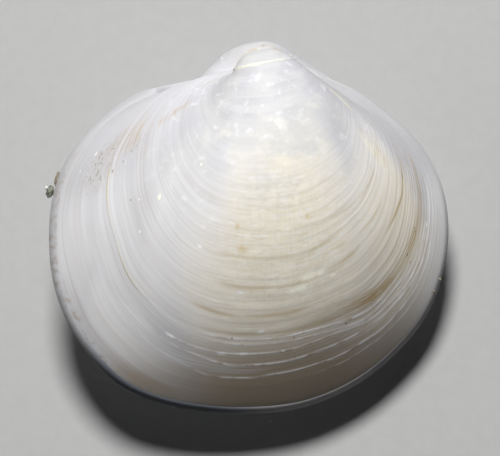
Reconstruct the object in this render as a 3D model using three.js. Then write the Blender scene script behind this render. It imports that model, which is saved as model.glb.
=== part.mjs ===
import * as THREE from 'three';

// Sizes are in millimetres and angles in degrees. In the shell's own frame +X is the posterior end,
// +Y the hinge side, and the valves meet on the plane Z = 0 with the left valve above it.

// The left valve's margin, seen square on, from the beak round the front end, the free edge and the
// back end to the hinge.
const MARGIN = [
  [0.29, 4.73], [-0.50, 4.68], [-0.98, 4.45], [-1.89, 4.34], [-2.70, 4.33], [-3.42, 4.17],
  [-4.25, 3.56], [-5.00, 2.79], [-5.52, 2.01], [-5.82, 1.11], [-5.91, -0.20], [-5.71, -1.72],
  [-4.97, -3.30], [-3.82, -4.59], [-2.64, -5.15], [-1.28, -5.43], [0.08, -5.50], [1.74, -5.33],
  [3.37, -4.64], [4.62, -3.60], [5.55, -2.32], [6.00, -0.50], [5.85, 1.17], [5.15, 2.56], [4.00, 3.62],
  [2.93, 4.34], [1.80, 4.72], [0.98, 4.75],
];
const MARGIN_CENTRE = [0.05, -0.4];
const MARGIN_STEPS = 46;

// A valve grows by keeping its margin's shape while the margin gets larger and turns about a line
// through the beak. The stage is the size of a growth line as a share of the finished margin.
const BEAK = [0.44, 5.00];
const HINGE_LINE_DEG = 10;
const TURN_PER_DOUBLING_DEG = 37.7;
const FIRST_STAGE = 0.05;
const EARLY_STAGES = [0.068, 0.09, 0.12];
const MIDDLE_STAGES = [0.21, 0.25, 0.34, 0.39, 0.5, 0.63, 0.735];

// The front end is narrower in the young shell and flares out in the last fifth of growth.
const YOUNG_FRONT_SHARE = 0.94;
const FLARE_START_STAGE = 0.78;
const FRONT_FADE_DEG = [10, 85];
const FRONT_START_DEG = [-40, 0];

// The umbones are fuller than this growth alone makes them: wider while young, and pushed out at the front.
const LEFT_UMBO = { width: 0, widthStages: [0.35, 0.7], front: 0.25, frontStages: [0.08, 0.19] };
const RIGHT_UMBO = { width: 0.13, widthStages: [0.35, 0.7], front: 0.2, frontStages: [0.1, 0.3] };
const UMBO_FRONT_REACH = 0.3;

// Where growth halted, the edge stands out as a ledge: a slow rise, a crest and a quick drop.
const LEDGES = [
  { stage: 0.163, lip: 0.004 },
  { stage: 0.295, lip: 0.003 },
  { stage: 0.445, lip: 0.003 },
  { stage: 0.58, lip: 0.004 },
  { stage: 0.69, lip: 0.005 },
  { stage: 0.79, lip: 0.007 },
  { stage: 0.825, lip: 0.006 },
  { stage: 0.86, lip: 0.006 },
  { stage: 0.9, lip: 0.006 },
  { stage: 0.945, lip: 0.005 },
];
const LEDGE_RISE = 0.016;
const LEDGE_DROP = 0.006;

// The right valve mirrors the left one and is a little larger, so its edge shows past the front end.
const RIGHT_VALVE_SCALE = 1.018;
const RIGHT_VALVE_SHIFT = [-0.045, -0.075];

// The hollow follows the outside a wall's width in, and is rounded off under the beak.
const WALL = 0.5;
const HOLLOW_STAGES = [1, 0.97, 0.9, 0.8, 0.7, 0.6, 0.5, 0.42, 0.37];
const HOLLOW_END = { stage: 0.35, wall: 0.95 };
const VALVE_GAP = 0.02;

// The brown ligament lies sunken behind the beaks, along the hinge.
const LIGAMENT_PATH = [[0.96, 4.84], [1.2, 4.83], [1.42, 4.8], [1.64, 4.74]];
const LIGAMENT_RADIUS = 0.085;
const LIGAMENT_END_SHARE = 0.35;
const LIGAMENT_RINGS = 9;
const LIGAMENT_SIDES = 10;

// The shell lies on its right valve with the hinge side and the front end a little raised.
const HINGE_RAISED_DEG = 10.5;
const FRONT_RAISED_DEG = 8;
const REST_SPOT_DEPTH = 0.12;

const SHELL_COLOUR = '#e9e8e6';
const LIGAMENT_COLOUR = '#7a5a38';

const radians = THREE.MathUtils.degToRad;
const smooth = THREE.MathUtils.smoothstep;
const coil = radians(TURN_PER_DOUBLING_DEG) / Math.LN2;

const hingeAngle = radians(HINGE_LINE_DEG);
const alongHinge = new THREE.Vector2(Math.cos(hingeAngle), Math.sin(hingeAngle));
const fromHinge = new THREE.Vector2(Math.sin(hingeAngle), -Math.cos(hingeAngle));
const beak = new THREE.Vector2(...BEAK);
const centre = new THREE.Vector2(...MARGIN_CENTRE);

function marginPoints() {
  const corners = MARGIN.map(([x, y]) => new THREE.Vector3(x, y, 0));
  const curve = new THREE.CatmullRomCurve3(corners, true, 'centripetal');
  return curve.getSpacedPoints(MARGIN_STEPS).slice(0, MARGIN_STEPS).map((p) => new THREE.Vector2(p.x, p.y));
}

// How far the young shell falls short of the margin's own shape in the direction of this point.
function frontShare(reach, stage) {
  const direction = THREE.MathUtils.radToDeg(Math.atan2(-reach.y, -reach.x));
  const onFront = smooth(direction, ...FRONT_START_DEG) * (1 - smooth(direction, ...FRONT_FADE_DEG));
  const young = 1 - smooth(stage, FLARE_START_STAGE, 1);
  return 1 - (1 - YOUNG_FRONT_SHARE) * onFront * young;
}

// Moves a point of the young shell along the hinge, to fill out the umbo.
function filled(along, stage, umbo) {
  const wider = umbo.width * (1 - smooth(stage, ...umbo.widthStages));
  const pushed = umbo.front * (1 - smooth(stage, ...umbo.frontStages));
  return along * (1 + wider) - pushed * smooth(-along, 0, UMBO_FRONT_REACH);
}

// A point of the margin carried back to an earlier stage of growth. A lip moves it outward.
function grown(edge, stage, umbo, lip = 0) {
  const reach = edge.clone().sub(beak);
  const size = (stage + lip) * frontShare(reach, stage);
  const turn = -coil * Math.log(stage);
  const away = reach.dot(fromHinge);
  const flat = beak.clone()
    .addScaledVector(alongHinge, filled(size * reach.dot(alongHinge), stage, umbo))
    .addScaledVector(fromHinge, size * away * Math.cos(turn));
  return new THREE.Vector3(flat.x, flat.y, size * away * Math.sin(turn));
}

// The hollow's edge lies a wall's width inside the margin.
function insetEdge(edge, stage, wall) {
  const inward = centre.clone().sub(edge);
  return edge.clone().addScaledVector(inward.normalize(), wall / stage);
}

function middleOf(ring) {
  const sum = new THREE.Vector3();
  ring.forEach((p) => sum.add(p));
  return sum.divideScalar(ring.length);
}

function outerRows() {
  const rows = [FIRST_STAGE, ...EARLY_STAGES, ...MIDDLE_STAGES, 1].map((stage) => ({ stage, lip: 0 }));
  LEDGES.forEach(({ stage, lip }) => {
    rows.push({ stage: stage - LEDGE_RISE, lip: 0 }, { stage, lip }, { stage: stage + LEDGE_DROP, lip: 0 });
  });
  return rows.sort((a, b) => a.stage - b.stage);
}

// Closes a stack of rings into one skin, from the middle of its first ring to the middle of its last.
function closedSkin(rings, flipped) {
  const count = rings[0].length;
  const points = [...rings.flat(), middleOf(rings[0]), middleOf(rings.at(-1))];
  const first = points.length - 2;
  const last = points.length - 1;
  const triangles = [];
  const add = (a, b, c) => triangles.push(...(flipped ? [a, c, b] : [a, b, c]));
  for (let i = 0; i < count; i += 1) {
    const next = (i + 1) % count;
    add(first, i, next);
    for (let row = 0; row < rings.length - 1; row += 1) {
      const near = row * count;
      const far = near + count;
      add(near + i, far + i, far + next);
      add(near + i, far + next, near + next);
    }
    const end = (rings.length - 1) * count;
    add(end + i, last, end + next);
  }
  return { points, triangles };
}

function geometryOf({ points, triangles }) {
  const geometry = new THREE.BufferGeometry();
  geometry.setAttribute('position', new THREE.Float32BufferAttribute(points.flatMap((p) => p.toArray()), 3));
  geometry.setIndex(triangles);
  geometry.computeVertexNormals();
  return geometry;
}

// A valve's skin: the outside from beak to margin, then the hollow from margin to its end.
function valveSkin(umbo, flipped) {
  const edges = marginPoints();
  const outside = outerRows().map(({ stage, lip }) => edges.map((edge) => grown(edge, stage, umbo, lip)));
  const hollowRows = [...HOLLOW_STAGES.map((stage) => ({ stage, wall: WALL })), HOLLOW_END];
  const hollow = hollowRows.map(({ stage, wall }) => (
    edges.map((edge) => grown(insetEdge(edge, stage, wall), stage, umbo))
  ));
  return closedSkin([...outside, ...hollow], flipped);
}

function leftValve() {
  const skin = valveSkin(LEFT_UMBO, false);
  skin.points.forEach((p) => p.setZ(p.z + VALVE_GAP / 2));
  return skin;
}

function rightValve() {
  const skin = valveSkin(RIGHT_UMBO, true);
  const [shiftX, shiftY] = RIGHT_VALVE_SHIFT;
  skin.points.forEach((p) => {
    p.multiplyScalar(RIGHT_VALVE_SCALE);
    p.set(p.x + shiftX, p.y + shiftY, -p.z - VALVE_GAP / 2);
  });
  return skin;
}

// Presses the lowest part of the tilted right valve to a small level spot and returns its height.
function pressRestSpot(skin, tilt) {
  const back = tilt.clone().invert();
  skin.points.forEach((p) => p.applyQuaternion(tilt));
  const level = Math.min(...skin.points.map((p) => p.z)) + REST_SPOT_DEPTH;
  skin.points.forEach((p) => p.setZ(Math.max(p.z, level)).applyQuaternion(back));
  return level;
}

function ligamentSkin() {
  const path = new THREE.CatmullRomCurve3(LIGAMENT_PATH.map(([x, y]) => new THREE.Vector3(x, y, 0)));
  const rings = [];
  for (let ring = 0; ring < LIGAMENT_RINGS; ring += 1) {
    const along = ring / (LIGAMENT_RINGS - 1);
    const middle = path.getPointAt(along);
    const side = new THREE.Vector3(0, 0, 1);
    const up = new THREE.Vector3().crossVectors(side, path.getTangentAt(along));
    const swell = LIGAMENT_END_SHARE + (1 - LIGAMENT_END_SHARE) * Math.sin(Math.PI * along);
    const radius = LIGAMENT_RADIUS * swell;
    rings.push(Array.from({ length: LIGAMENT_SIDES }, (_, i) => {
      const angle = (2 * Math.PI * i) / LIGAMENT_SIDES;
      return middle.clone()
        .addScaledVector(up, radius * Math.cos(angle))
        .addScaledVector(side, radius * Math.sin(angle));
    }));
  }
  return closedSkin(rings, true);
}

function piece(name, skin, material) {
  const mesh = new THREE.Mesh(geometryOf(skin), material);
  mesh.name = name;
  return mesh;
}

const shellFinish = new THREE.MeshStandardMaterial({ color: SHELL_COLOUR, roughness: 0.5, metalness: 0 });
shellFinish.name = 'shell';
const ligamentFinish = new THREE.MeshStandardMaterial({ color: LIGAMENT_COLOUR, roughness: 0.7, metalness: 0 });
ligamentFinish.name = 'ligament';

const raised = new THREE.Euler(radians(HINGE_RAISED_DEG), radians(FRONT_RAISED_DEG), 0, 'XYZ');
const tilt = new THREE.Quaternion().setFromEuler(raised);
const right = rightValve();
const restLevel = pressRestSpot(right, tilt);

const shell = new THREE.Group();
shell.add(piece('left_valve', leftValve(), shellFinish));
shell.add(piece('right_valve', right, shellFinish));
shell.add(piece('ligament', ligamentSkin(), ligamentFinish));
shell.quaternion.copy(tilt);
shell.updateMatrixWorld(true);

const box = new THREE.Box3().setFromObject(shell, true);
const middle = box.getCenter(new THREE.Vector3());
shell.position.set(-middle.x, -middle.y, -restLevel);

const group = new THREE.Group();
group.name = 'parvilucina_tenuisculpta_shell';
group.add(shell);

export default group;
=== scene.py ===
import math

import bpy
import numpy as np
from mathutils import Euler, Matrix, Vector


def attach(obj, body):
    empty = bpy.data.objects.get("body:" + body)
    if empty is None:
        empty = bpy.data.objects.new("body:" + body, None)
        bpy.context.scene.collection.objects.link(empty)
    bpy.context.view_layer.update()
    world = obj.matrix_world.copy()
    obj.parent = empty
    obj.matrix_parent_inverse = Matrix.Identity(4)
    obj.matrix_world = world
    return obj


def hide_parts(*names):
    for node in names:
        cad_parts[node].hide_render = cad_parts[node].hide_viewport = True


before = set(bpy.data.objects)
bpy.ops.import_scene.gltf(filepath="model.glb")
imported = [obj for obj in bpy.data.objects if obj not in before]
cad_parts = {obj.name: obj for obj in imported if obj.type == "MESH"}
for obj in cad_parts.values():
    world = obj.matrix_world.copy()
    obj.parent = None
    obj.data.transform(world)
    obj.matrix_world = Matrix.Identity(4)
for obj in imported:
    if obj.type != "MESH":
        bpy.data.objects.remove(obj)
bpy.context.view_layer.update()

# Shell sizes are in millimetres, in the shell's own frame: +X is the back end, +Y the hinge side, and the
# valves meet on Z = 0. The margin is the outline of the left valve.
MARGIN = [
    (0.29, 4.73), (-0.50, 4.68), (-0.98, 4.45), (-1.89, 4.34), (-2.70, 4.33), (-3.42, 4.17),
    (-4.25, 3.56), (-5.00, 2.79), (-5.52, 2.01), (-5.82, 1.11), (-5.91, -0.20), (-5.71, -1.72),
    (-4.97, -3.30), (-3.82, -4.59), (-2.64, -5.15), (-1.28, -5.43), (0.08, -5.50), (1.74, -5.33),
    (3.37, -4.64), (4.62, -3.60), (5.55, -2.32), (6.00, -0.50), (5.85, 1.17), (5.15, 2.56), (4.00, 3.62),
    (2.93, 4.34), (1.80, 4.72), (0.98, 4.75),
]
MARGIN_CENTRE = Vector((0.05, -0.4, 0.0))
BEAK = Vector((0.44, 4.99, 0.0))
HINGE_LINE = math.radians(10)
# Each growth line is the margin made smaller and turned about the hinge line, by so much for each halving.
COIL = math.radians(37.7) / math.log(2)
# The front end is narrower in the young shell and flares out late.
YOUNG_FRONT_SHARE = 0.94
FLARE_START = 0.78
# How the umbones are filled out: extra width while young, its stages, the push at the front in millimetres
# and its stages.
LEFT_UMBO = (0.0, (0.35, 0.7), 0.25, (0.08, 0.19))
RIGHT_UMBO = (0.13, (0.35, 0.7), 0.2, (0.1, 0.3))

RIGHT_VALVE_SCALE = 1.018
RIGHT_VALVE_SHIFT = (-0.045, -0.075, 0.0)
VALVE_GAP = -0.04

# How the whole shell lies: tilted, then lifted so that its rest spot is on the floor.
TILT = Euler((math.radians(10.5), math.radians(8), 0))
LIE = Matrix.Translation((-0.00994, -0.04533, 3.07203)) @ TILT.to_matrix().to_4x4()
TO_METRES = Matrix.Scale(0.001, 4)
# From the shell's own frame to one with its X axis on the hinge line and the beak at the origin, and back.
ONTO_HINGE = Matrix.Rotation(-HINGE_LINE, 4, "Z") @ Matrix.Translation(-BEAK)
OFF_HINGE = Matrix.Translation(BEAK) @ Matrix.Rotation(HINGE_LINE, 4, "Z")

# The stages of growth that the outside and the hollow are stepped through, from the margin inwards.
MARGIN_STEPS = 56
GROWTH_STAGES = [
    *np.linspace(1, 0.76, 49), *np.linspace(0.76, 0.4, 37)[1:], *np.linspace(0.4, 0.17, 11)[1:],
    *np.linspace(0.17, 0.135, 9)[1:], *np.linspace(0.135, 0.05, 5)[1:],
]
HOLLOW_STAGES = [1, 0.96, 0.88, 0.78, 0.66, 0.52, 0.4]
RIM_SHARE = 0.92

# Ledges left by halts in growth: stage, height in millimetres, width of the slow rise. Each drop is the
# width of the quick fall after the crest.
BEAK_LEDGE = (0.151, 0.034, 0.030)
BEAK_LEDGE_DROP = 0.006
BEAK_FULLNESS = 0.08
FRONT_STEP = (0.785, 0.018, 0.03)
FRONT_STEP_DROP = 0.008
BACK_FURROW_DEPTH = 0.045
FRONT_FURROW_DEPTH = 0.015
BACK_RIDGE_HEIGHT = 0.0026
LEDGE_DROP = 0.010
LEDGES = [
    (0.235, 0.0020, 0.02), (0.295, 0.0025, 0.02), (0.372, 0.0025, 0.02), (0.445, 0.0030, 0.02),
    (0.515, 0.0032, 0.018), (0.575, 0.0036, 0.018), (0.622, 0.0034, 0.016), (0.662, 0.0036, 0.015),
    (0.70, 0.0036, 0.014), (0.735, 0.0036, 0.014), (0.762, 0.0036, 0.012),
]
# The stretch of the margin with the strongest lines: where they start, are full, begin to fade and end.
TOWARD_BACK = (0.40, 0.52, 0.78, 0.84)
# Thin raised edges in the last fifth of growth: strength, then places round the margin with their stage.
THIN_EDGE_HEIGHT = 0.0042
THIN_EDGE_BREADTH = 0.0029
THIN_EDGE_STEP = (0.0, 0.0020, 0.010)
THIN_EDGE_DROP = 0.004
THIN_EDGES = [
    (1.0, [(0.33, 0.782), (0.473, 0.7808), (0.51, 0.7833), (0.554, 0.7853), (0.6055, 0.7983),
           (0.64, 0.806), (0.69, 0.812)]),
    (0.7, [(0.44, 0.795), (0.533, 0.7979), (0.579, 0.8069), (0.625, 0.8227), (0.6765, 0.8235),
           (0.70, 0.8418), (0.723, 0.8555), (0.77, 0.862)]),
    (0.8, [(0.38, 0.824), (0.46, 0.8254), (0.484, 0.8235), (0.53, 0.825), (0.593, 0.8225), (0.64, 0.836),
           (0.68, 0.852), (0.72, 0.868), (0.78, 0.876)]),
    (1.0, [(0.35, 0.836), (0.425, 0.8423), (0.4727, 0.8583), (0.5, 0.8572), (0.562, 0.8568),
           (0.606, 0.855), (0.6375, 0.8515), (0.68, 0.868), (0.72, 0.884), (0.80, 0.890)]),
    (0.8, [(0.35, 0.864), (0.4234, 0.8786), (0.454, 0.898), (0.498, 0.897), (0.52, 0.891), (0.55, 0.892),
           (0.5845, 0.8968), (0.624, 0.888), (0.68, 0.896), (0.72, 0.907), (0.81, 0.914)]),
    (0.5, [(0.56, 0.926), (0.5976, 0.923), (0.624, 0.913), (0.66, 0.916), (0.70, 0.927), (0.81, 0.937)]),
]
# Tan stains that follow growth lines on the left valve: strength, breadth in stage, then the places.
BACK_STREAK = [(0.585, 0.752), (0.6393, 0.7728), (0.6618, 0.7844), (0.6824, 0.7878), (0.7043, 0.7996),
               (0.724, 0.811), (0.7426, 0.8195), (0.79, 0.824)]
LEFT_STAINS = [
    (1.0, 0.0038, [(0.68, 0.676), (0.7127, 0.6888), (0.7315, 0.699), (0.7477, 0.7115), (0.7662, 0.7158),
                   (0.80, 0.724)]),
    (0.45, 0.0100, [(0.73, 0.813), (0.7426, 0.8195), (0.7781, 0.8235), (0.82, 0.826)]),
    (0.32, 0.0200, BACK_STREAK),
    (1.0, 0.0028, BACK_STREAK),
    (0.9, 0.0022, [(u, v + 0.0088) for u, v in BACK_STREAK]),
    (0.8, 0.0022, [(u, v - 0.0092) for u, v in BACK_STREAK]),
    (0.6, 0.0022, [(u, v - 0.0180) for u, v in BACK_STREAK]),
    (0.55, 0.0030, [(0.155, 0.785), (0.1784, 0.7948), (0.1843, 0.798), (0.1916, 0.803), (0.2025, 0.7895),
                    (0.2148, 0.7816), (0.2263, 0.792), (0.2527, 0.789), (0.36, 0.789)]),
    (0.45, 0.0040, [(0.14, 0.74), (0.165, 0.735), (0.20, 0.755), (0.235, 0.77)]),
    (0.40, 0.0040, [(0.42, 0.577), (0.50, 0.580), (0.58, 0.578), (0.64, 0.57)]),
    (0.40, 0.0050, [(0.42, 0.645), (0.47, 0.650), (0.53, 0.648), (0.58, 0.643), (0.66, 0.64)]),
    (0.50, 0.0060, [(0.40, 0.712), (0.47, 0.722), (0.54, 0.720), (0.60, 0.715)]),
    (0.40, 0.0060, [(0.42, 0.765), (0.50, 0.768), (0.58, 0.775), (0.66, 0.785)]),
    (0.35, 0.0040, [(0.60, 0.60), (0.68, 0.615), (0.75, 0.625)]),
    (0.35, 0.0040, [(0.56, 0.52), (0.66, 0.54), (0.75, 0.56)]),
]
# The tan line where the right umbo goes in under the left one.
RIGHT_STAINS = [
    (0.75, 0.0050, [(0.18, 0.100), (0.2673, 0.0655), (0.35, 0.0545), (0.433, 0.0545), (0.493, 0.0565),
                    (0.553, 0.0615), (0.63, 0.065), (0.735, 0.070), (0.81, 0.108), (0.85, 0.15)]),
]
# Where each shade lies on the growth map, with how ragged it is: place round the margin, growth stage, reach
# round the margin, reach in growth, strength.
LEFT_SHADES = {
    # pale: partly the shell's own lighter tone, partly painted light that brightens the middle band and the
    # back margin
    "pale": (0.10, [(0.50, 0.58, 0.32, 0.36, 0.90), (0.72, 0.60, 0.12, 0.27, 0.85),
                    (0.745, 0.96, 0.10, 0.13, 0.95), (0.36, 0.90, 0.09, 0.10, 0.8),
                    (0.27, 0.93, 0.07, 0.10, 0.5), (0.30, 0.78, 0.12, 0.16, 0.5),
                    (0.68, 0.84, 0.08, 0.08, 0.6)]),
    "cream": (0.12, [(0.54, 0.60, 0.20, 0.38, 0.90), (0.70, 0.70, 0.12, 0.30, 0.75),
                     (0.66, 0.84, 0.10, 0.09, 0.7)]),
    # clay: the brownish lower margin, partly its own colour and partly painted shade that darkens the bottom
    "clay_and_painted_shade": (0.06, [(0.54, 0.96, 0.19, 0.25, 0.93), (0.65, 0.93, 0.09, 0.16, 0.16),
                    (0.41, 0.98, 0.06, 0.05, 0.7), (0.60, 0.80, 0.11, 0.08, 0.52)]),
    "lilac": (0.08, [(0.85, 0.93, 0.07, 0.16, 0.6), (0.82, 0.74, 0.06, 0.24, 0.85),
                     (0.165, 0.86, 0.07, 0.18, 0.75)]),
    "haze": (0.10, [(0.395, 0.868, 0.09, 0.030, 0.7), (0.47, 0.872, 0.06, 0.018, 0.4)]),
    "blotched": (0.12, [(0.50, 0.26, 0.34, 0.26, 1.0)]),
    "net": (0.12, [(0.53, 0.57, 0.15, 0.27, 1.0)]),
    "lined": (0.10, [(0.715, 0.77, 0.13, 0.15, 1.0)]),
    "specked": (0.20, [(0.20, 0.835, 0.038, 0.085, 1.0), (0.207, 0.70, 0.020, 0.110, 0.5)]),
    "fan": (0.12, [(0.19, 0.70, 0.030, 0.110, 1.0), (0.185, 0.80, 0.030, 0.060, 1.0),
                   (0.195, 0.50, 0.010, 0.16, 0.9), (0.150, 0.37, 0.012, 0.14, 0.9),
                   (0.765, 0.55, 0.020, 0.10, 0.9), (0.80, 0.40, 0.02, 0.08, 0.7)]),
    "worn": (0.10, [(0.245, 0.7865, 0.050, 0.0042, 0.9), (0.31, 0.7865, 0.060, 0.0034, 0.9),
                    (0.34, 0.1515, 0.10, 0.0080, 0.9), (0.47, 0.1510, 0.16, 0.0060, 0.9),
                    (0.60, 0.1500, 0.10, 0.0050, 0.8), (0.757, 0.55, 0.014, 0.11, 0.6),
                    (0.80, 0.38, 0.012, 0.12, 0.6)]),
    "edge": (0.15, [(0.335, 0.992, 0.085, 0.018, 1.0), (0.22, 0.992, 0.07, 0.014, 0.9)]),
    # rim: a thin pale line on the margin, partly its own pale edge and partly painted highlight
    "rim": (0.05, [(0.77, 1.0, 0.08, 0.008, 0.8)]),
}
RIGHT_SHADES = {
    "lilac": (0.10, [(0.50, 0.10, 0.40, 0.20, 0.5)]),
    "haze": (0.10, [(0.22, 0.20, 0.13, 0.09, 0.5)]),
    # edge: painted shade on the thin lower edge, which lies in shadow, with a bluish tint
    "edge": (0.05, [(0.42, 1.0, 0.13, 0.035, 0.95)]),
    "stained": (0.15, [(0.26, 1.0, 0.10, 0.030, 0.9)]),
    # painted shade that greys the margin at both ends
    "painted_shade_ends": (0.05, [(0.15, 1.0, 0.14, 0.16, 0.35), (0.87, 1.0, 0.08, 0.10, 0.35)]),
    # rim: a thin pale line on the margin, partly its own pale edge and partly painted highlight
    "rim": (0.05, [(0.77, 1.0, 0.08, 0.005, 0.9), (0.60, 1.0, 0.03, 0.003, 0.5)]),
}
# The late growth lines wander a little: place round the margin, shift in stage.
WANDER = [
    (0.0, 0.0), (0.17, 0.021), (0.20, 0.0), (0.243, -0.005), (0.292, 0.012), (0.33, 0.002),
    (0.374, 0.010), (0.42, 0.0), (0.467, -0.002), (0.52, 0.003), (0.566, 0.013), (0.59, 0.011),
    (0.62, 0.0), (0.64, -0.010), (0.70, -0.004), (0.80, 0.0), (1.0, 0.0),
]

PORCELAIN = (0.538, 0.538, 0.566, 1)
DULL_PORCELAIN = (0.518, 0.513, 0.526, 1)
CHALK = (0.612, 0.612, 0.608, 1)
IVORY = (0.783, 0.765, 0.703, 1)
PALE = (0.783, 0.774, 0.77, 1)
CREAM = (0.85, 0.788, 0.65, 1)
CLAY = (0.388, 0.318, 0.232, 1)
LILAC = (0.516, 0.512, 0.534, 1)
TAN = (0.42, 0.295, 0.125, 1)
BROWN = (0.20, 0.11, 0.045, 1)
GREY_SPECK = (0.24, 0.21, 0.16, 1)
WHITE = (0.95, 0.95, 0.97, 1)
STRAW = (0.676, 0.605, 0.445, 1)
OCHRE = (0.62, 0.46, 0.20, 1)
BRIGHT_IVORY = (1.0, 0.97, 0.82, 1)
HAZE = (0.659, 0.655, 0.68, 1)
WORN_YELLOW = (0.85, 0.82, 0.67, 1)
BROWN_EDGE = (0.36, 0.28, 0.19, 1)
# Painted shade colours for the right valve's thin lower edge and its margin ends.
SHADED_EDGE_BLUE = (0.16, 0.18, 0.21, 1)
PAINTED_SHADE_GREY = (0.40, 0.40, 0.42, 1)
SHELL_ROUGHNESS = (0.56, 0.68)
DARK_HORN = (0.10, 0.05, 0.02, 1)
LIGHT_HORN = (0.30, 0.17, 0.07, 1)
HORN_CRACK = (0.03, 0.018, 0.01, 1)
TABLE_GREY = (0.415, 0.415, 0.41, 1)
TABLE_PALE = (0.43, 0.43, 0.425, 1)

# Small marks on the growth map: place round the margin, growth stage, size in millimetres, and how many
# times longer than wide.
BROWN_DOTS = [(0.2709, 0.6903, 0.045, 1), (0.7306, 0.8092, 0.04, 1), (0.7032, 0.8266, 0.04, 1),
              (0.7043, 0.80, 0.06, 1), (0.6055, 0.807, 0.055, 1), (0.4680, 0.780, 0.05, 1),
              (0.5420, 0.792, 0.05, 1), (0.7320, 0.802, 0.035, 1), (0.7700, 0.7165, 0.045, 3),
              (0.2185, 0.7243, 0.05, 1), (0.2213, 0.7713, 0.06, 1), (0.2123, 0.6892, 0.045, 1),
              (0.2032, 0.623, 0.035, 1), (0.2100, 0.6665, 0.035, 1)]
WHITE_DOTS = [(0.7478, 0.8708, 0.09, 1), (0.4602, 0.8254, 0.085, 2.6), (0.4837, 0.8235, 0.08, 3),
              (0.5300, 0.824, 0.05, 2), (0.4679, 0.6626, 0.07, 2.5), (0.5020, 0.762, 0.075, 2.6),
              (0.3974, 0.5819, 0.07, 2.2), (0.4020, 0.823, 0.07, 3), (0.2000, 0.925, 0.03, 1),
              (0.3100, 0.690, 0.05, 1), (0.2800, 0.655, 0.05, 1)]
IVORY_DOTS = [(0.5658, 0.6363, 0.18, 3.0), (0.5825, 0.6384, 0.14, 2), (0.5412, 0.6642, 0.14, 2),
              (0.5527, 0.6622, 0.16, 2.6), (0.3045, 0.5805, 0.13, 1), (0.1889, 0.89, 0.05, 1),
              (0.60, 0.66, 0.06, 3), (0.35, 0.42, 0.08, 1)]
TAN_DOTS = [(0.4482, 0.5131, 0.12, 1.3), (0.4615, 0.5614, 0.15, 2.2), (0.5751, 0.5023, 0.10, 1.4),
            (0.1940, 0.5732, 0.07, 1), (0.8040, 0.829, 0.085, 1), (0.2200, 0.7900, 0.08, 1),
            (0.1858, 0.6946, 0.03, 1), (0.1880, 0.704, 0.03, 1), (0.1807, 0.6791, 0.035, 1),
            (0.2010, 0.5690, 0.025, 1), (0.2060, 0.5650, 0.02, 1)]
# On the right valve's umbo, which shows above the left one's.
UMBO_BROWN_LINES = [(0.57, 0.064, 0.05, 14), (0.60, 0.068, 0.03, 14)]
UMBO_WHITE_DOTS = [(0.3186, 0.1346, 0.06, 6)]
UMBO_YELLOW_DOTS = [(0.83, 0.165, 0.10, 4)]

LIGAMENT_PATH = [(0.96, 4.84), (1.06, 4.84), (1.16, 4.835), (1.26, 4.825), (1.36, 4.81), (1.46, 4.79),
                 (1.56, 4.76), (1.64, 4.74)]
LIGAMENT_END_RADIUS = 0.03
LIGAMENT_SWELL = [1.9, 1.25, 1.05, 0.97, 0.9, 0.78, 0.5]
HAIR_PATH = [(0.70, -5.30, 1.75), (0.72, -5.44, 1.70), (0.71, -5.56, 1.62), (0.66, -5.68, 1.55),
             (0.62, -5.80, 1.50), (0.62, -5.90, 1.47)]
HAIR_RADIUS = 0.012

# The table, the lights and the camera are in metres. At its level the picture is as wide as in the photo.
TABLE_SIZE = 0.6
SHELL_MIDDLE = (0, 0, 0.003)
CAMERA_ABOVE = 0.15
PICTURE_WIDTH = 0.01497
PICTURE_LEVEL = 0.0036


def deselect_all():
    if bpy.context.object and bpy.context.object.mode != "OBJECT":
        bpy.ops.object.mode_set(mode="OBJECT")
    bpy.ops.object.select_all(action="DESELECT")


def smooth(low, high, x):
    t = np.clip((x - low) / (high - low), 0, 1)
    return t * t * (3 - 2 * t)


def between(x, start, full, fading, end):
    """Rises smoothly from 0 at the start to 1, and falls back to 0 at the end."""
    return smooth(start, full, x) * (1 - smooth(fading, end, x))


def bump_at(x, middle, width):
    return np.exp(-(((x - middle) / width) ** 2))


def ripple(x, y, seed, waves=7):
    """Smooth, irregular waves between about -1 and 1."""
    rng = np.random.default_rng(seed)
    total = 0
    for _ in range(waves):
        angle, size, phase = rng.uniform(0, 2 * math.pi), rng.uniform(0.5, 1.5), rng.uniform(0, 6.28)
        total = total + np.sin(size * (math.cos(angle) * x + math.sin(angle) * y) + phase)
    return total / math.sqrt(waves) / 1.2


def closed_curve(corners, count):
    """Points at even spacing on a smooth closed curve through the corners."""
    dense = []
    total = len(corners)
    for i in range(total):
        p = [Vector(corners[(i + j - 1) % total]) for j in range(4)]
        knots = [0.0]
        for a, b in zip(p, p[1:]):
            knots.append(knots[-1] + math.sqrt((b - a).length))
        t0, t1, t2, t3 = knots
        for step in range(24):
            t = t1 + (t2 - t1) * step / 24
            a1 = p[0] * ((t1 - t) / (t1 - t0)) + p[1] * ((t - t0) / (t1 - t0))
            a2 = p[1] * ((t2 - t) / (t2 - t1)) + p[2] * ((t - t1) / (t2 - t1))
            a3 = p[2] * ((t3 - t) / (t3 - t2)) + p[3] * ((t - t2) / (t3 - t2))
            b1 = a1 * ((t2 - t) / (t2 - t0)) + a2 * ((t - t0) / (t2 - t0))
            b2 = a2 * ((t3 - t) / (t3 - t1)) + a3 * ((t - t1) / (t3 - t1))
            dense.append(b1 * ((t2 - t) / (t2 - t1)) + b2 * ((t - t1) / (t2 - t1)))
    loop = np.array(dense + dense[:1])
    length = np.concatenate([[0], np.cumsum(np.linalg.norm(np.diff(loop, axis=0), axis=1))])
    at = np.linspace(0, length[-1], count, endpoint=False)
    return np.column_stack([np.interp(at, length, loop[:, 0]), np.interp(at, length, loop[:, 1])])


def read_points(mesh, what="co"):
    numbers = np.empty(len(mesh.vertices) * 3)
    mesh.vertices.foreach_get(what, numbers)
    return numbers.reshape(-1, 3)


def write_points(mesh, points):
    mesh.vertices.foreach_set("co", points.ravel())
    mesh.update()


def place(piece, matrix):
    """Puts a piece's place and size into its mesh, in metres."""
    piece.data.transform(TO_METRES @ matrix)
    piece.matrix_world = Matrix.Identity(4)
    piece.data.update()


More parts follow.
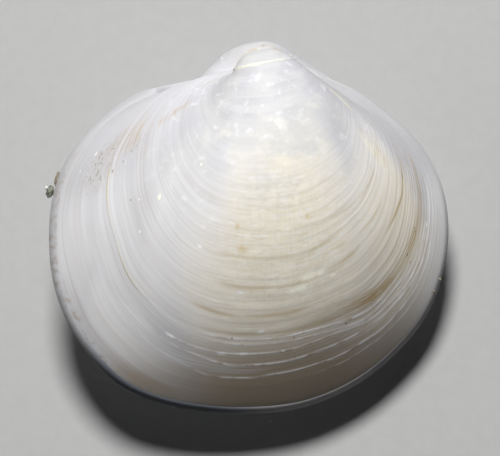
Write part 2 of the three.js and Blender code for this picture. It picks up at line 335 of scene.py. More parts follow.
def grow_inwards(stages):
    """Adds growth bands inside the last edge, smaller and turned about the hinge, and closes the end."""
    for old, new in zip(stages, stages[1:]):
        bpy.ops.mesh.extrude_region_move()
        bpy.ops.transform.resize(value=(new / old,) * 3, center_override=(0, 0, 0))
        turn = COIL * math.log(old / new)
        bpy.ops.transform.rotate(value=turn, orient_axis="X", center_override=(0, 0, 0))
    bpy.ops.mesh.edge_face_add()
    bpy.ops.mesh.poke()


def outside_of_valve(name):
    """The smooth outside of a valve, grown backwards from its margin to the beak, which is at the origin."""
    deselect_all()
    bpy.ops.mesh.primitive_circle_add(vertices=MARGIN_STEPS, radius=6)
    valve = bpy.context.object
    valve.name = name
    for vertex, (x, y) in zip(valve.data.vertices, closed_curve(MARGIN, MARGIN_STEPS)):
        vertex.co = ONTO_HINGE @ Vector((x, y, 0))
    bpy.ops.object.mode_set(mode="EDIT")
    bpy.ops.mesh.select_all(action="SELECT")
    grow_inwards(GROWTH_STAGES)
    bpy.ops.object.mode_set(mode="OBJECT")
    finer = valve.modifiers.new("finer", "SUBSURF")
    finer.levels = finer.render_levels = 2
    bpy.ops.object.modifier_apply(modifier=finer.name)
    return valve


def wander_at(around):
    """The shift of the late growth lines, with its corners rounded off."""
    table = np.interp(np.linspace(0, 1, 360, endpoint=False), *zip(*WANDER))
    window = np.hanning(17)
    table = np.convolve(np.pad(table, 8, mode="wrap"), window / window.sum(), "valid")
    return np.interp(around, np.linspace(0, 1, 360, endpoint=False), table, period=1)


class Growth:
    """Where each point of a valve's outside lies in its growth: the stage, the place round the margin, the
    direction and reach from the beak, and the growth line, which is the stage with its wanderings."""

    def __init__(self, points, seed):
        self.seed = seed
        turn = np.arctan2(np.abs(points[:, 2]), -points[:, 1])
        self.stage = np.exp(-turn / COIL)
        across = points[:, 0] / self.stage
        down = np.hypot(points[:, 1], points[:, 2]) / self.stage
        x = BEAK.x + across * math.cos(HINGE_LINE) + down * math.sin(HINGE_LINE)
        y = BEAK.y + across * math.sin(HINGE_LINE) - down * math.cos(HINGE_LINE)
        self.around = (np.arctan2(-(x - MARGIN_CENTRE.x), y - MARGIN_CENTRE.y) / (2 * math.pi)) % 1
        self.direction = np.degrees(np.arctan2(-(y - BEAK.y), -(x - BEAK.x)))
        self.reach = np.hypot(across, down)
        angle = self.around * 2 * math.pi
        self.cx, self.cy = np.cos(angle), np.sin(angle)
        line = self.stage + wander_at(self.around) * between(self.stage, 0.6, 0.78, 0.94, 1.0)
        self.line = line + 0.0014 * self.uneven(3, 9, 0) + 0.0006 * self.uneven(14, 30, 1)

    def uneven(self, across, along, number):
        """Irregular patches, with how closely they change round the margin and from stage to stage."""
        return ripple(across * self.cx, across * self.cy + along * self.stage, self.seed + number)

    def banded(self, along, across, number):
        """Irregular bands, with how closely they change from stage to stage and round the margin."""
        return ripple(along * self.stage, across * self.around, self.seed + number)


def ledge_heights(stage, ledges, drop):
    """A slow rise to each ledge's crest and a quick drop after it."""
    height = 0
    for at, lift, rise in ledges:
        rising, falling = smooth(at - rise, at, stage), 1 - smooth(at, at + drop, stage)
        height = height + lift * np.where(stage < at, rising, falling)
    return height


def along_line(growth, places, breadth):
    """A thin line that follows the places, from a growth stage at one place round the margin to the next."""
    first, last = places[0][0], places[-1][0]
    ends = between(growth.around, first, first + 0.03, last - 0.03, last)
    return bump_at(growth.line, np.interp(growth.around, *zip(*places)), breadth) * ends


def broad_ledges(growth):
    varied = 0.8 + 0.3 * ripple(5 * growth.cx + 20 * growth.stage, 5 * growth.cy, growth.seed + 2)
    return ledge_heights(growth.line, LEDGES, LEDGE_DROP) * varied


def left_beak(growth):
    """The young left valve ends in a sharp ledge, and it is full in front of the beak."""
    fullness = bump_at(growth.around, 0.105, 0.045) * between(growth.stage, 0.12, 0.22, 0.55, 0.8)
    cap = between(growth.around, 0.20, 0.32, 0.62, 0.80) * (0.9 + 0.25 * growth.uneven(9, 0, 12))
    return BEAK_FULLNESS * fullness + ledge_heights(growth.line, [BEAK_LEDGE], BEAK_LEDGE_DROP) * cap


def thin_edges(growth):
    """Thin edges on low steps, broken in places. Gives their height and how strong their crests are."""
    toward_back = between(growth.around, *TOWARD_BACK)
    broken = np.clip(0.9 + 0.5 * growth.uneven(26, 120, 3), 0.1, 1.2) * (0.4 + 0.65 * toward_back)
    crest, steps = 0, 0
    for strength, places in THIN_EDGES:
        crest = crest + strength * along_line(growth, places, THIN_EDGE_BREADTH)
        past = growth.line - np.interp(growth.around, *zip(*places))
        steps = steps + strength * ledge_heights(past, [THIN_EDGE_STEP], THIN_EDGE_DROP)
    return (THIN_EDGE_HEIGHT * crest + steps) * broken, crest * broken


def front_step(growth):
    """The strongest halt leaves a low step across the front end, with a hollow after it."""
    at_front = between(growth.around, 0.14, 0.19, 0.32, 0.40)
    step = ledge_heights(growth.line, [FRONT_STEP], FRONT_STEP_DROP)
    return at_front * (step - 0.015 * bump_at(growth.stage, 0.812, 0.022))


def soft_waves(growth):
    """Soft waves in the middle of the shell with finer ones over them, all calmer at the front."""
    phase = 47 * growth.line + 0.5 * growth.banded(25, 0, 4) + 0.2 * growth.uneven(6, 40, 5)
    strength = (0.7 + 0.3 * growth.banded(30, 9, 6)) * (0.5 + 0.6 * between(growth.around, *TOWARD_BACK))
    wave = np.sin(2 * math.pi * phase) * strength * between(growth.stage, 0.3, 0.5, 0.78, 0.83)
    phase = 108 * growth.line + 0.5 * ripple(60 * growth.stage, 4 * growth.cx, growth.seed + 7)
    height = 0.0013 * wave + 0.0005 * np.sin(2 * math.pi * phase) + 0.0035 * growth.banded(60, 3, 11)
    return height * (0.18 + 0.82 * between(growth.around, 0.30, 0.42, 0.82, 0.90))


def back_ridges(growth):
    """Sharp, close ridges towards the back end, with the furrows between them."""
    phase = 57 * growth.line + 0.5 * growth.banded(40, 2, 8) + 0.2 * growth.uneven(9, 50, 9)
    lined = between(growth.around, 0.55, 0.66, 0.79, 0.83) * between(growth.stage, 0.35, 0.5, 0.86, 0.92)
    varied = np.clip(0.6 + 0.6 * growth.banded(70, 5, 10), 0.1, 1.3)
    ridge = (0.5 + 0.5 * np.cos(2 * math.pi * phase)) ** 3 * varied * lined
    furrow = (0.5 - 0.5 * np.cos(2 * math.pi * phase)) ** 2 * lined
    return ridge, furrow


def edge_furrows(growth):
    """A shallow furrow from the beak to the upper back edge, and a fainter one to the upper front edge."""
    back = bump_at(growth.around, 0.862, 0.02) * between(growth.stage, 0.25, 0.7, 0.9, 1.0)
    front = bump_at(growth.around, 0.125, 0.02) * between(growth.stage, 0.3, 0.7, 0.8, 0.96)
    return BACK_FURROW_DEPTH * back + FRONT_FURROW_DEPTH * front


def filled(along, stage, umbo):
    """Moves points of the young shell along the hinge, to fill out the umbo."""
    width, width_stages, push, push_stages = umbo
    wider = width * (1 - smooth(*width_stages, stage))
    return along * (1 + wider) - push * (1 - smooth(*push_stages, stage)) * smooth(0, 0.3, -along)


def sculpt(mesh, growth, umbo, is_left):
    """Flares the front end, fills the umbo, and raises the ledges, edges, waves and ridges of growth."""
    young_front = between(growth.direction, -40, 0, 10, 85) * (1 - smooth(FLARE_START, 1, growth.stage))
    points = read_points(mesh) * (1 - (1 - YOUNG_FRONT_SHARE) * young_front)[:, None]
    points[:, 0] = filled(points[:, 0], growth.stage, umbo)
    write_points(mesh, points)
    outward = read_points(mesh, "normal")
    if outward[np.argmax(points[:, 2])][2] < 0:
        outward = -outward
    edges, crest = thin_edges(growth)
    ridge, furrow = back_ridges(growth)
    height = broad_ledges(growth) + edges + front_step(growth) + soft_waves(growth)
    height = height + BACK_RIDGE_HEIGHT * ridge - edge_furrows(growth)
    if is_left:
        height = height + left_beak(growth)
    # The relief fades out at the beak and at the margin itself.
    free = smooth(0.5, 4.0, growth.reach) * smooth(1.0, 0.992, growth.stage)
    write_points(mesh, points + outward * (height * free)[:, None])
    # The crest note carries white that is partly painted highlight.
    return {"crest": crest + 0.45 * ridge, "furrow": furrow}


def shade_at(growth, rag, patches):
    """Where a shade lies, as soft patches on the growth map."""
    shade = np.zeros(len(growth.stage))
    for middle, stage, wide, tall, strength in patches:
        away = np.hypot((growth.around - middle) / wide, (growth.line - stage) / tall) + rag
        shade = np.maximum(shade, strength * (1 - smooth(0.3, 1.0, away)))
    return shade


def note_colours(mesh, growth, notes, stains, shades):
    """Notes on every point how strongly crests, furrows, stains and shades show there."""
    fade = np.clip(0.75 + 0.5 * growth.uneven(12, 60, 13), 0.1, 1.2)
    notes["stain"] = 0
    for strength, breadth, places in stains:
        notes["stain"] = notes["stain"] + fade * strength * along_line(growth, places, breadth)
    rag = growth.uneven(9, 24, 14)
    for name, (ragged, patches) in shades.items():
        notes[name] = shade_at(growth, ragged * rag, patches)
    for name, strength in notes.items():
        attribute = mesh.attributes.new(name, "FLOAT", "POINT")
        attribute.data.foreach_set("value", np.clip(strength, 0, 1).astype(np.float32))


def lay_growth_map(mesh, growth):
    """A UV map with the place round the margin across and the growth line up."""
    layer = mesh.uv_layers.new(name="growth")
    corners = np.empty(len(mesh.loops), dtype=np.int32)
    mesh.loops.foreach_get("vertex_index", corners)
    starts = np.empty(len(mesh.polygons), dtype=np.int32)
    totals = np.empty(len(mesh.polygons), dtype=np.int32)
    mesh.polygons.foreach_get("loop_start", starts)
    mesh.polygons.foreach_get("loop_total", totals)
    # A face across the start of the map goes on past 1.
    across = growth.around[corners]
    highest = np.repeat(np.maximum.reduceat(across, starts), totals)
    across = np.where(highest - across > 0.5, across + 1, across)
    layer.data.foreach_set("uv", np.column_stack([across, growth.line[corners]]).ravel())


def line_with_hollow(valve):
    """Turns the margin in as a flat rim and lines the valve with a hollow that follows its outside."""
    deselect_all()
    valve.select_set(True)
    bpy.context.view_layer.objects.active = valve
    bpy.ops.object.mode_set(mode="EDIT")
    bpy.ops.mesh.select_mode(type="EDGE")
    bpy.ops.mesh.select_all(action="DESELECT")
    bpy.ops.mesh.select_non_manifold(extend=False, use_wire=False, use_boundary=True, use_multi_face=False,
                                     use_non_contiguous=False, use_verts=False)
    bpy.ops.mesh.extrude_region_move()
    bpy.ops.transform.resize(value=(RIM_SHARE, RIM_SHARE, 1), center_override=ONTO_HINGE @ MARGIN_CENTRE)
    grow_inwards(HOLLOW_STAGES)
    bpy.ops.object.mode_set(mode="OBJECT")


def make_valve(name, umbo, stains, shades, seed, matrix):
    """A whole valve in its place, pressed flat where it rests."""
    valve = outside_of_valve(name)
    growth = Growth(read_points(valve.data), seed)
    notes = sculpt(valve.data, growth, umbo, stains is LEFT_STAINS)
    note_colours(valve.data, growth, notes, stains, shades)
    lay_growth_map(valve.data, growth)
    line_with_hollow(valve)
    place(valve, LIE @ matrix @ OFF_HINGE)
    points = read_points(valve.data)
    points[:, 2] = np.maximum(points[:, 2], 0)
    write_points(valve.data, points)
    bpy.ops.object.mode_set(mode="EDIT")
    bpy.ops.mesh.select_all(action="SELECT")
    bpy.ops.mesh.normals_make_consistent(inside=False)
    bpy.ops.object.mode_set(mode="OBJECT")
    bpy.ops.object.shade_smooth()
    return valve


def make_left_valve():
    raised = Matrix.Translation((0, 0, VALVE_GAP / 2))
    return make_valve("left valve", LEFT_UMBO, LEFT_STAINS, LEFT_SHADES, 3, raised)


def make_right_valve():
    """The right valve mirrors the left one, and is a little larger."""
    mirror = Matrix.Diagonal((RIGHT_VALVE_SCALE, RIGHT_VALVE_SCALE, -RIGHT_VALVE_SCALE, 1))
    shift = Matrix.Translation(Vector(RIGHT_VALVE_SHIFT) + Vector((0, 0, -VALVE_GAP / 2)))
    return make_valve("right valve", RIGHT_UMBO, RIGHT_STAINS, RIGHT_SHADES, 40, shift @ mirror)


def make_ligament():
    """The horny band behind the beaks: a ring carried along the hinge, swelling in the middle."""
    deselect_all()
    (x, y), *_ = LIGAMENT_PATH
    bpy.ops.mesh.primitive_circle_add(vertices=16, radius=LIGAMENT_END_RADIUS, location=(x, y, 0),
                                      rotation=(0, math.pi / 2, 0))
    band = bpy.context.object
    bpy.ops.object.mode_set(mode="EDIT")
    bpy.ops.mesh.select_all(action="SELECT")
    bpy.ops.mesh.edge_face_add()
    for (old_x, old_y), (x, y), swell in zip(LIGAMENT_PATH, LIGAMENT_PATH[1:], LIGAMENT_SWELL):
        bpy.ops.mesh.extrude_region_move(TRANSFORM_OT_translate={"value": (x - old_x, y - old_y, 0)})
        bpy.ops.transform.resize(value=(swell,) * 3, center_override=(x, y, 0))
    bpy.ops.object.mode_set(mode="OBJECT")
    bpy.ops.object.transform_apply(location=True, rotation=True, scale=True)
    finer = band.modifiers.new("finer", "SUBSURF")
    finer.levels = finer.render_levels = 2
    bpy.ops.object.modifier_apply(modifier=finer.name)
    bpy.ops.object.shade_smooth()
    band.name = "ligament"
    place(band, LIE)
    return band


def make_crumb(name, where, size, turn, roughness):
    """A small crumb of dirt, placed in millimetres."""
    deselect_all()
    bpy.ops.mesh.primitive_ico_sphere_add(subdivisions=5, radius=1)
    crumb = bpy.context.object
    crumb.name = name
    lumps = bpy.data.textures.new(name + " lumps", "CLOUDS")
    lumps.noise_scale = 0.7
    uneven = crumb.modifiers.new("lumps", "DISPLACE")
    uneven.texture = lumps
    uneven.strength = roughness
    bpy.ops.object.modifier_apply(modifier=uneven.name)
    deselect_all()
    crumb.select_set(True)
    bpy.ops.object.shade_smooth()
    place(crumb, Matrix.Translation(where) @ Euler(turn).to_matrix().to_4x4() @ Matrix.Diagonal((*size, 1)))
    return crumb


def make_hair(name, path, thickness):
    """A thin hair through the places of the path, in millimetres, closed at both ends."""
    deselect_all()
    bpy.ops.mesh.primitive_circle_add(vertices=8, radius=thickness, fill_type="NGON", location=path[0])
    hair = bpy.context.object
    hair.name = name
    bpy.ops.object.transform_apply(location=True, rotation=True, scale=True)
    bpy.ops.object.mode_set(mode="EDIT")
    bpy.ops.mesh.select_all(action="SELECT")
    for here, there in zip(path, path[1:]):
        bpy.ops.mesh.extrude_region_move(TRANSFORM_OT_translate={"value": Vector(there) - Vector(here)})
    bpy.ops.mesh.select_all(action="SELECT")
    bpy.ops.mesh.normals_make_consistent(inside=False)
    bpy.ops.object.mode_set(mode="OBJECT")
    bpy.ops.object.shade_smooth()
    place(hair, Matrix.Identity(4))
    return hair


def new_material(name):
    material = bpy.data.materials.new(name)
    material.use_nodes = True
    return material, material.node_tree, material.node_tree.nodes["Principled BSDF"]


def feed(tree, socket, value):
    """Links a socket to another node's output, or gives it a plain value."""
    if isinstance(value, bpy.types.NodeSocket):
        tree.links.new(value, socket)
    else:
        socket.default_value = value


def calc(tree, what, a, b=0.0, c=0.0):
    node = tree.nodes.new("ShaderNodeMath")
    node.operation = what
    for socket, value in zip(node.inputs, (a, b, c)):
        feed(tree, socket, value)
    return node.outputs[0]


def ease(tree, value, low, high, start=0.0, end=1.0):
    node = tree.nodes.new("ShaderNodeMapRange")
    node.interpolation_type = "SMOOTHSTEP"
    for socket, number in zip(node.inputs[:5], (value, low, high, start, end)):
        feed(tree, socket, number)
    return node.outputs[0]


def blend(tree, share, a, b):
    node = tree.nodes.new("ShaderNodeMix")
    node.data_type = "RGBA"
    feed(tree, node.inputs["Factor"], share)
    feed(tree, node.inputs[6], a)
    feed(tree, node.inputs[7], b)
    return node.outputs[2]


def stretched(tree, vector, scale):
    node = tree.nodes.new("ShaderNodeMapping")
    feed(tree, node.inputs["Vector"], vector)
    feed(tree, node.inputs["Scale"], scale)
    return node.outputs[0]


def cloud(tree, vector, scale, detail=3.0, rough=0.55):
    node = tree.nodes.new("ShaderNodeTexNoise")
    feed(tree, node.inputs["Vector"], vector)
    feed(tree, node.inputs["Scale"], scale)
    node.inputs["Detail"].default_value = detail
    node.inputs["Roughness"].default_value = rough
    return node.outputs[0]


def bumpy(tree, shader, height, strength, distance):
    bump = tree.nodes.new("ShaderNodeBump")
    bump.inputs["Strength"].default_value = strength
    bump.inputs["Distance"].default_value = distance
    feed(tree, bump.inputs["Height"], height)
    feed(tree, shader.inputs["Normal"], bump.outputs[0])


def new_group(name, vectors, numbers, outputs):
    """An empty shader group with vector inputs, number inputs with their usual values, and outputs."""
    group = bpy.data.node_groups.new(name, "ShaderNodeTree")
    for label in vectors:
        group.interface.new_socket(label, in_out="INPUT", socket_type="NodeSocketVector")
    for label, usual in numbers.items():
        socket = group.interface.new_socket(label, in_out="INPUT", socket_type="NodeSocketFloat")
        socket.default_value = usual
    for label in outputs:
        group.interface.new_socket(label, in_out="OUTPUT", socket_type="NodeSocketFloat")
    return group, group.nodes.new("NodeGroupInput").outputs, group.nodes.new("NodeGroupOutput").inputs


def use(tree, group, **values):
    node = tree.nodes.new("ShaderNodeGroup")
    node.node_tree = group
    for label, value in values.items():
        feed(tree, node.inputs[label.capitalize()], value)
    return node.outputs


def make_mark_group():
    """How far a place on the growth map is from the middle of a small mark, in sizes of the mark."""
    tree, given, gives = new_group("small mark", ["Growth", "Place", "Scale"], {}, ["Distance"])
    apart = tree.nodes.new("ShaderNodeVectorMath")
    apart.operation = "SUBTRACT"
    feed(tree, apart.inputs[0], given["Growth"])
    feed(tree, apart.inputs[1], given["Place"])
    length = tree.nodes.new("ShaderNodeVectorMath")
    length.operation = "LENGTH"
    feed(tree, length.inputs[0], stretched(tree, apart.outputs[0], given["Scale"]))
    feed(tree, gives["Distance"], length.outputs["Value"])
    return tree


def make_streak_group():
    """Thin, broken streaks that run along the growth lines."""
    numbers = {"Along": 8.0, "Fine": 120.0, "Amount": 0.5}
    tree, given, gives = new_group("streaks along growth lines", ["Growth"], numbers, ["Mask"])
    size = tree.nodes.new("ShaderNodeCombineXYZ")
    feed(tree, size.inputs[0], given["Along"])
    feed(tree, size.inputs[1], given["Fine"])
    streak = cloud(tree, stretched(tree, given["Growth"], size.outputs[0]), 1.0, 4.0, 0.6)
    edge = calc(tree, "SUBTRACT", 0.72, calc(tree, "MULTIPLY", given["Amount"], 0.4))
    feed(tree, gives["Mask"], ease(tree, streak, edge, calc(tree, "ADD", edge, 0.14)))
    return tree


def make_relief_group():
    """The finest growth lines, the faint threads that fan out from the beak, and a dull grain."""
    numbers = {"Threads": 0.5}
    tree, given, gives = new_group("finest relief", ["Growth", "Surface"], numbers, ["Height", "Fan"])
    lines = cloud(tree, stretched(tree, given["Growth"], (9, 300, 1)), 1.0, 3.0, 0.6)
    fan = cloud(tree, stretched(tree, given["Growth"], (250, 10, 1)), 1.0, 2.0, 0.5)
    grain = cloud(tree, given["Surface"], 9000.0, 3.0, 0.6)
    threads = calc(tree, "MULTIPLY", calc(tree, "MULTIPLY", fan, given["Threads"]), 0.6)
    height = calc(tree, "ADD", calc(tree, "MULTIPLY", lines, 0.8), threads)
    feed(tree, gives["Height"], calc(tree, "ADD", height, calc(tree, "MULTIPLY", grain, 0.25)))
    feed(tree, gives["Fan"], fan)
    return tree


class ShellPaint:
    """A shell material whose colour is built up tint by tint, each where a mask says."""

    def __init__(self, name, groups):
        self.material, self.tree, self.shader = new_material(name)
        self.groups = groups
        growth = self.tree.nodes.new("ShaderNodeUVMap")
        growth.uv_map = "growth"
        self.growth = growth.outputs[0]
        self.surface = self.tree.nodes.new("ShaderNodeTexCoord").outputs["Object"]
        parts = self.tree.nodes.new("ShaderNodeSeparateXYZ")
        feed(self.tree, parts.inputs[0], self.growth)
        self.stage = parts.outputs[1]
        frayed = cloud(self.tree, stretched(self.tree, self.growth, (420, 210, 1)), 1.0)
        self.frayed = calc(self.tree, "SUBTRACT", frayed, 0.5)
        self.relief = use(self.tree, groups["relief"], growth=self.growth, surface=self.surface, threads=0.7)
        self.colour = blend(self.tree, self.noise(900.0, 0.4, 0.65, 4.0), PORCELAIN, DULL_PORCELAIN)

    def times(self, a, b):
        return calc(self.tree, "MULTIPLY", a, b)

    def ease(self, value, low, high):
        return ease(self.tree, value, low, high)

    def noise(self, scale, low, high, detail=3.0):
        """Clouds on the growth map where the scale has two numbers, otherwise in the shell's space."""
        if isinstance(scale, tuple):
            clouds = cloud(self.tree, stretched(self.tree, self.growth, (*scale, 1)), 1.0, detail)
        else:
            clouds = cloud(self.tree, self.surface, scale, detail)
        return self.ease(clouds, low, high)

    def noted(self, label):
        """What note_colours wrote on the mesh under this name."""
        node = self.tree.nodes.new("ShaderNodeAttribute")
        node.attribute_name = label
        return node.outputs["Fac"]

    def streaks(self, along, fine, amount):
        streak = self.groups["streak"]
        return use(self.tree, streak, growth=self.growth, along=along, fine=fine, amount=amount)[0]

    def marks(self, places):
        """Small marks with frayed edges."""
        nearest = None
        for u, v, size, length in places:
            scale = (30 / length / size, 14 / size, 0)
            away = use(self.tree, self.groups["mark"], growth=self.growth, place=(u, v, 0), scale=scale)[0]
            nearest = calc(self.tree, "MINIMUM", nearest, away) if nearest else away
        return self.ease(calc(self.tree, "ADD", nearest, self.times(self.frayed, 1.6)), 1.15, 0.2)

    def tint(self, mask, strength, shade):
        self.colour = blend(self.tree, self.times(mask, strength), self.colour, shade)

    def finished(self):
        """Lays the rim's pale edge, partly the margin's own pale edge and partly painted highlight, and
        gives the material its dull, waxy surface.
        """
        # Pale rim, partly painted highlight.
        self.tint(self.noted("rim"), 1.0, PALE)
        feed(self.tree, self.shader.inputs["Base Color"], self.colour)
        rough = ease(self.tree, cloud(self.tree, self.surface, 1500.0, 3.0), 0.3, 0.7, *SHELL_ROUGHNESS)
        feed(self.tree, self.shader.inputs["Roughness"], rough)
        self.shader.inputs["Specular IOR Level"].default_value = 0.2
        self.shader.inputs["Subsurface Weight"].default_value = 0.12
        self.shader.inputs["Subsurface Radius"].default_value = (1.0, 0.9, 0.8)
        self.shader.inputs["Subsurface Scale"].default_value = 0.00035
        bumpy(self.tree, self.shader, self.relief["Height"], 0.5, 0.000008)
        return self.material


def paint_crests_and_stains(paint):
    """Crests are white and broken along their length, partly the shell's own white lines and partly painted
    highlight, and tan stains follow some growth lines.
    """
    # White on the crests is partly painted highlight where the raised lines catch the light.
    paint.tint(paint.times(paint.noted("crest"), paint.noise((60, 20), 0.34, 0.54)), 0.95, WHITE)
    paint.tint(paint.times(paint.noted("stain"), paint.noise((45, 60), 0.10, 0.45)), 0.9, TAN)


def paint_left_ground(paint):
    """Pale and warm in the middle, brown-grey at the free edge, bluish at both ends, with soft bands. The
    pale is partly painted light and the brown-grey edge partly painted shade.
    """
    # Pale patches, partly painted light.
    paint.tint(paint.noted("pale"), 0.95, PALE)
    paint.tint(paint.noise((2.2, 44), 0.45, 0.62, 4.0), 0.14, WHITE)
    paint.tint(paint.noted("cream"), 1.0, CREAM)
    # Clay-brown lower margin, partly painted shade.
    paint.tint(paint.noted("clay_and_painted_shade"), 1.0, CLAY)
    paint.tint(paint.noted("lilac"), 1.0, LILAC)
    paint.tint(paint.times(paint.noted("haze"), paint.noise((10, 70), 0.32, 0.56)), 1.0, HAZE)
    older = paint.times(paint.ease(paint.stage, 0.3, 0.6), 0.17)
    paint.tint(paint.noise((2.6, 70), 0.54, 0.68, 4.0), older, CLAY)


def paint_young_blotches(paint):
    """Soft chalky and ivory blotches on the young shell, and a few brighter dots."""
    blotched = paint.noted("blotched")
    paint.tint(paint.times(paint.noise(1200.0, 0.40, 0.66, 3.0), blotched), 0.9, CHALK)
    past_beak = paint.times(blotched, paint.ease(paint.stage, 0.20, 0.32))
    paint.tint(paint.times(paint.noise(1700.0, 0.50, 0.68, 3.0), past_beak), 0.5, IVORY)
    young = paint.ease(paint.stage, 0.70, 0.45)
    paint.tint(paint.times(paint.noise(3200.0, 0.56, 0.78, 2.0), young), 0.38, WHITE)


def paint_cream_net(paint):
    """Growth lines and the threads that cross them weave a fine net of cream and tan in the middle."""
    net = paint.noted("net")
    grown = paint.ease(paint.stage, 0.25, 0.5)
    paint.tint(paint.times(paint.noise((7, 150), 0.44, 0.62), grown), 0.13, CLAY)
    paint.tint(paint.times(paint.noise((22, 44), 0.46, 0.64), net), 0.35, BRIGHT_IVORY)
    paint.tint(paint.times(paint.ease(paint.relief["Fan"], 0.40, 0.64), net), 0.20, STRAW)
    paint.tint(paint.times(paint.noise((90, 120), 0.50, 0.64, 2.0), net), 0.55, IVORY)
    paint.tint(paint.times(paint.noise((70, 90), 0.52, 0.72, 2.0), net), 0.18, TAN)
    flecked = paint.times(paint.noted("cream"), paint.ease(paint.stage, 0.86, 0.78))
    paint.tint(paint.times(paint.noise((40, 95), 0.54, 0.66, 2.0), flecked), 0.25, WHITE)


def paint_ends(paint):
    """Tan furrows at the back, tan streaks where the front bends, and a strongest crease worn to cream."""
    furrow = paint.times(paint.noted("furrow"), paint.noted("lined"))
    paint.tint(paint.times(furrow, paint.noise((8, 60), 0.35, 0.6)), 0.45, TAN)
    paint.tint(paint.times(paint.streaks(18.0, 130.0, 0.6), paint.noted("fan")), 0.6, TAN)
    paint.tint(paint.times(paint.noted("worn"), paint.noise((70, 30), 0.25, 0.50)), 0.9, WORN_YELLOW)


def paint_specks(paint):
    """Dark specks in the furrows of the front end, on slightly darker ground."""
    cells = paint.tree.nodes.new("ShaderNodeTexVoronoi")
    feed(paint.tree, cells.inputs["Vector"], stretched(paint.tree, paint.growth, (230, 130, 1)))
    cells.inputs["Scale"].default_value = 1.0
    specked = paint.noted("specked")
    speck = paint.times(paint.ease(cells.outputs["Distance"], 0.40, 0.22), paint.noise((70, 50), 0.40, 0.56))
    paint.tint(paint.times(speck, specked), 0.8, GREY_SPECK)
    paint.tint(paint.times(specked, paint.noise((80, 60), 0.35, 0.6)), 0.18, CLAY)


def left_shell_material(groups):
    paint = ShellPaint("left valve shell", groups)
    paint_left_ground(paint)
    paint_young_blotches(paint)
    paint_cream_net(paint)
    paint_crests_and_stains(paint)
    paint_ends(paint)
    paint.tint(paint.marks(TAN_DOTS), 0.5, OCHRE)
    paint_specks(paint)
    paint.tint(paint.marks(BROWN_DOTS), 0.8, BROWN)
    paint.tint(paint.marks(IVORY_DOTS), 1.0, BRIGHT_IVORY)
    paint.tint(paint.marks(WHITE_DOTS), 0.9, WHITE)
    # The first shell above the beak's ledge is chalky, with grey streaks.
    cap = paint.ease(paint.stage, 0.152, 0.146)
    paint.tint(cap, 0.8, CHALK)
    paint.tint(paint.times(cap, paint.noise((7, 120), 0.48, 0.64)), 0.45, LILAC)
    # The margin is stained and a little worn.
    paint.tint(paint.times(paint.noted("edge"), paint.noise(5000.0, 0.46, 0.66)), 0.5, BROWN_EDGE)
    return paint.finished()


def right_shell_material(groups):
    paint = ShellPaint("right valve shell", groups)
    paint.tint(paint.ease(paint.stage, 0.30, 0.50), 0.3, PALE)
    paint.tint(paint.noise((2.2, 44), 0.45, 0.62, 4.0), 0.14, WHITE)
    paint_crests_and_stains(paint)
    paint.tint(paint.ease(paint.stage, 0.16, 0.08), 0.4, CHALK)
    paint.tint(paint.times(paint.noise((6, 70), 0.50, 0.66), paint.noted("lilac")), 1.0, LILAC)
    paint.tint(paint.noted("haze"), 1.0, HAZE)
    paint.tint(paint.marks(UMBO_BROWN_LINES), 0.45, BROWN)
    paint.tint(paint.marks(UMBO_WHITE_DOTS), 0.7, WHITE)
    paint.tint(paint.marks(UMBO_YELLOW_DOTS), 0.7, WORN_YELLOW)
    # The edge that shows past the left valve is stained at the front, and thin below, where painted shade
    # with a bluish tint darkens it; painted shade also greys both its ends.
    paint.tint(paint.noted("edge"), 1.0, SHADED_EDGE_BLUE)
    paint.tint(paint.noted("painted_shade_ends"), 1.0, PAINTED_SHADE_GREY)
    paint.tint(paint.times(paint.noted("stained"), paint.noise(5000.0, 0.44, 0.66)), 0.5, BROWN_EDGE)
    return paint.finished()


def horn_material():
    """Dry brown horn: fibres along the hinge, with darker cracks."""
    material, tree, shader = new_material("dry brown horn")
    surface = tree.nodes.new("ShaderNodeTexCoord").outputs["Object"]
    fibre = cloud(tree, stretched(tree, surface, (1500, 16000, 16000)), 1.0, 4.0, 0.6)
    colour = blend(tree, ease(tree, fibre, 0.35, 0.65), DARK_HORN, LIGHT_HORN)
    crack = ease(tree, cloud(tree, stretched(tree, surface, (9000, 3000, 3000)), 1.0, 3.0), 0.62, 0.70)
    colour = blend(tree, calc(tree, "MULTIPLY", crack, 0.8), colour, HORN_CRACK)
    feed(tree, shader.inputs["Base Color"], colour)
    feed(tree, shader.inputs["Roughness"], ease(tree, fibre, 0.3, 0.7, 0.45, 0.7))
    bumpy(tree, shader, fibre, 0.6, 0.00001)
    return material


def dirt_material(name, light, dark, size):
    """Mottled dirt, with the size of its mottling as noise scale."""
    material, tree, shader = new_material(name)
    surface = tree.nodes.new("ShaderNodeTexCoord").outputs["Object"]
    colour = blend(tree, ease(tree, cloud(tree, surface, size, 3.0), 0.40, 0.62), light, dark)
    feed(tree, shader.inputs["Base Color"], colour)
    finer = cloud(tree, surface, 2 * size, 3.0)
    feed(tree, shader.inputs["Roughness"], ease(tree, finer, 0.3, 0.7, 0.4, 0.7))
    return material


def table_material():
    """A pale matt table top with a barely visible grain."""
    material, tree, shader = new_material("pale table")
    surface = tree.nodes.new("ShaderNodeTexCoord").outputs["Object"]
    grain = cloud(tree, surface, 2500.0, 3.0)
    colour = blend(tree, ease(tree, grain, 0.35, 0.65), TABLE_GREY, TABLE_PALE)
    feed(tree, shader.inputs["Base Color"], colour)
    feed(tree, shader.inputs["Roughness"], ease(tree, grain, 0.3, 0.7, 0.75, 0.85))
    return material


def give(piece, material):
    """Gives a piece its only material, and lets it ride on the shell."""
    piece.data.materials.clear()
    piece.data.materials.append(material)
    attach(piece, "root")


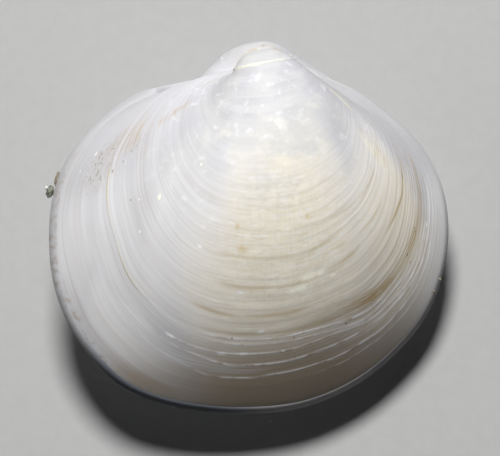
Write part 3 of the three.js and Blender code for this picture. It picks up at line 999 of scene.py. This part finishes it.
def dress_nodes():
    """The three pieces that take the place of the plain ones."""
    left, right, band = make_left_valve(), make_right_valve(), make_ligament()
    groups = {"streak": make_streak_group(), "mark": make_mark_group(), "relief": make_relief_group()}
    for piece, node, slot, material in (
        (left, "left_valve", "shell", left_shell_material(groups)),
        (right, "right_valve", "shell", right_shell_material(groups)),
        (band, "ligament", "ligament", horn_material()),
    ):
        give(piece, material)
        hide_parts(node)
        piece.name = "fine_" + node


def scatter_dirt():
    """The grains, crumbs, film and hair that lie on this shell."""
    sand = dirt_material("green sand grain", (0.22, 0.24, 0.19, 1), (0.09, 0.10, 0.07, 1), 14000.0)
    sparkle = dirt_material("white sand grain", (0.75, 0.77, 0.74, 1), (0.45, 0.47, 0.44, 1), 20000.0)
    film = dirt_material("brown film", (0.30, 0.27, 0.20, 1), (0.16, 0.13, 0.09, 1), 16000.0)
    lint = dirt_material("grey lint", (0.45, 0.46, 0.48, 1), (0.25, 0.25, 0.26, 1), 9000.0)
    for name, material, where, size, turn, roughness in (
        ("sand_grain", sand, (-5.98, 1.08, 3.86), (0.11, 0.19, 0.11), (0.2, 0.1, -0.25), 0.5),
        ("white_grain", sparkle, (-6.08, 1.20, 3.94), (0.055, 0.055, 0.05), (0, 0, 0), 0.4),
        ("edge_film", film, (-5.765, 1.46, 3.90), (0.07, 0.22, 0.05), (0.1, 0.3, -0.2), 0.5),
        ("back_crumb", film, (5.75, -1.55, 2.04), (0.035, 0.05, 0.03), (0, 0, 0.4), 0.5),
        ("lower_crumb", film, (5.57, -1.92, 1.99), (0.035, 0.045, 0.03), (0, 0, 0.2), 0.5),
    ):
        give(make_crumb(name, where, size, turn, roughness), material)
    give(make_hair("hair", HAIR_PATH, HAIR_RADIUS), lint)


def lay_table():
    deselect_all()
    bpy.ops.mesh.primitive_plane_add(size=TABLE_SIZE)
    floor = bpy.context.object
    floor.name = "floor"
    floor.data.materials.append(table_material())


def soft_light(name, where, size, power):
    """A round soft light that is turned to the middle of the shell."""
    lamp = bpy.data.lights.new(name, "AREA")
    lamp.shape = "DISK"
    lamp.size = size
    lamp.energy = power
    holder = bpy.data.objects.new(name, lamp)
    bpy.context.collection.objects.link(holder)
    holder.location = where
    holder.rotation_euler = (Vector(SHELL_MIDDLE) - Vector(where)).to_track_quat("-Z", "Y").to_euler()


def light_the_room():
    soft_light("window light", (-0.0129, 0.1223, 0.1824), 0.05, 0.65)
    soft_light("fill light", (-0.16, 0.0, 0.12), 0.12, 0.01)
    world = bpy.data.worlds.new("room")
    bpy.context.scene.world = world
    world.use_nodes = True
    world.node_tree.nodes["Background"].inputs["Color"].default_value = (0.9, 0.93, 1, 1)
    world.node_tree.nodes["Background"].inputs["Strength"].default_value = 0.03
    bpy.context.scene.view_settings.view_transform = "Standard"


def set_camera():
    """The camera looks straight down, as in the photo."""
    eye = bpy.data.cameras.new("camera")
    camera = bpy.data.objects.new("camera", eye)
    bpy.context.collection.objects.link(camera)
    eye.sensor_width = 36
    eye.lens = eye.sensor_width * CAMERA_ABOVE / PICTURE_WIDTH
    eye.clip_start = 0.005
    eye.clip_end = 5
    camera.location = (0.0, 0.0, PICTURE_LEVEL + CAMERA_ABOVE)
    bpy.context.scene.camera = camera


dress_nodes()
scatter_dirt()
lay_table()
light_the_room()
set_camera()
